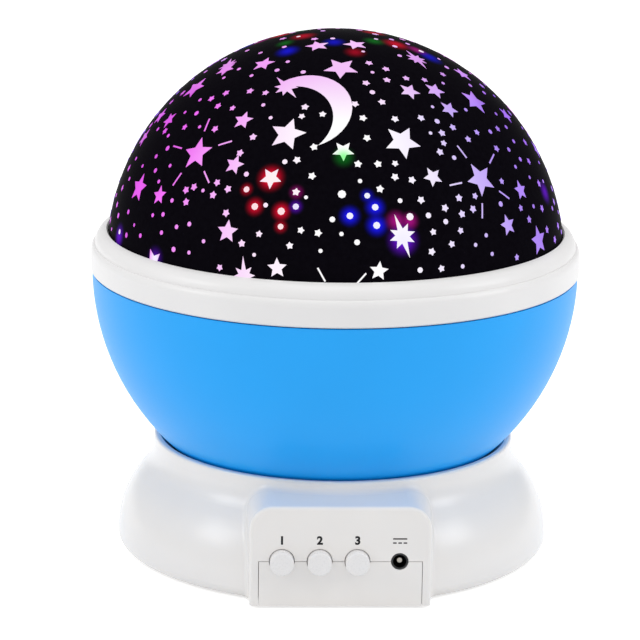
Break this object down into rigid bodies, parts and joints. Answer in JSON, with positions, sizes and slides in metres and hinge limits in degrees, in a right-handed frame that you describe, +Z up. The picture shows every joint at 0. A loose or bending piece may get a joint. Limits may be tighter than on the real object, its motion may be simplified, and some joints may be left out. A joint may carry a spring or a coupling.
{
  "type": "star night light projector",
  "caption": "Ball-shaped star night light: a star-windowed dome and a blue bowl turn on a flared white base with push buttons and a DC socket.",
  "frame": {"origin": "centre of the footprint on the floor, under the axis that the ball turns on", "axes": "+Z up along the ball's axis, -Y towards the control panel, +X to the right seen from the panel"},
  "size_m": [0.13, 0.13, 0.1393],
  "materials": {
    "white_shell": "white moulded ABS with a soft gloss",
    "blue_shell": "sky-blue moulded ABS with a satin gloss",
    "dome_print": "satin black print on a clear moulded dome",
    "star_window": "clear windows in the black print, lit from inside",
    "button_white": "white moulded ABS",
    "legend_ink": "dark pad-printed ink",
    "black_plastic": "black moulded nylon",
    "foot_rubber": "matt grey-black rubber",
    "screw_steel": "zinc-plated steel",
    "contact_nickel": "bright nickel plate",
    "cell_wrap": "plain dark green cell sleeve",
    "post_plastic": "natural white ABS",
    "bearing_nylon": "natural acetal",
    "gearbox_plastic": "dark grey moulded ABS",
    "circuit_board": "green solder mask on glass fibre",
    "lamp_white": "clear epoxy lamp, warm white",
    "lamp_red": "red epoxy lamp",
    "lamp_green": "green epoxy lamp",
    "lamp_blue": "blue epoxy lamp"
  },
  "bodies": {
    "base": {"base_shell": "white_shell", "base_plate": "white_shell", "rubber_feet": "foot_rubber", "base_screws": "screw_steel", "aaa_cells": "cell_wrap", "contact_plates": "contact_nickel", "contact_springs": "contact_nickel", "lamp_post": "post_plastic", "post_screws": "screw_steel", "thrust_washer": "bearing_nylon", "retaining_clip": "screw_steel", "led_board": "circuit_board", "white_leds": "lamp_white", "red_led": "lamp_red", "green_led": "lamp_green", "blue_led": "lamp_blue", "control_board": "circuit_board", "board_screws": "screw_steel", "board_parts": "black_plastic", "switch_bodies": "black_plastic", "dc_jack": "black_plastic", "dc_jack_pin": "contact_nickel", "gearbox_case": "gearbox_plastic", "gearbox_screws": "screw_steel", "motor_can": "contact_nickel"},
    "globe": {"star_dome": "dome_print", "trim_ring": "white_shell", "bowl_shell": "blue_shell", "ring_screws": "screw_steel", "globe_gear": "bearing_nylon", "gear_screws": "screw_steel", "hub_bush": "bearing_nylon"},
    "pinion": {"drive_pinion": "bearing_nylon", "output_shaft": "screw_steel"},
    "battery_door": {"battery_door": "white_shell"},
    "light_button": {"light_button_cap": "button_white", "light_button_plunger": "bearing_nylon"},
    "colour_button": {"colour_button_cap": "button_white", "colour_button_plunger": "bearing_nylon"},
    "turn_button": {"turn_button_cap": "button_white", "turn_button_plunger": "bearing_nylon"}
  },
  "joints": [
    {"name": "globe_spin", "type": "hinge", "parent": "base", "child": "globe", "pos_m": [0, 0, 0.036], "axis": [0, 0, 1], "continuous": true},
    {"name": "pinion_spin", "type": "hinge", "parent": "base", "child": "pinion", "pos_m": [0.027, 0, 0.0254], "axis": [0, 0, 1], "continuous": true},
    {"name": "battery_door_hinge", "type": "hinge", "parent": "base", "child": "battery_door", "pos_m": [0, 0.032, 0.00175], "axis": [1, 0, 0], "range_deg": [0, 75]},
    {"name": "light_button_press", "type": "slide", "parent": "base", "child": "light_button", "axis": [0, 1, 0], "range_m": [0, 0.0018], "stiffness_N_per_m": 600},
    {"name": "colour_button_press", "type": "slide", "parent": "base", "child": "colour_button", "axis": [0, 1, 0], "range_m": [0, 0.0018], "stiffness_N_per_m": 600},
    {"name": "turn_button_press", "type": "slide", "parent": "base", "child": "turn_button", "axis": [0, 1, 0], "range_m": [0, 0.0018], "stiffness_N_per_m": 600}
  ],
  "couplings": [
    {"joint": "pinion_spin", "follows": "globe_spin", "ratio": -2.8571}
  ]
}
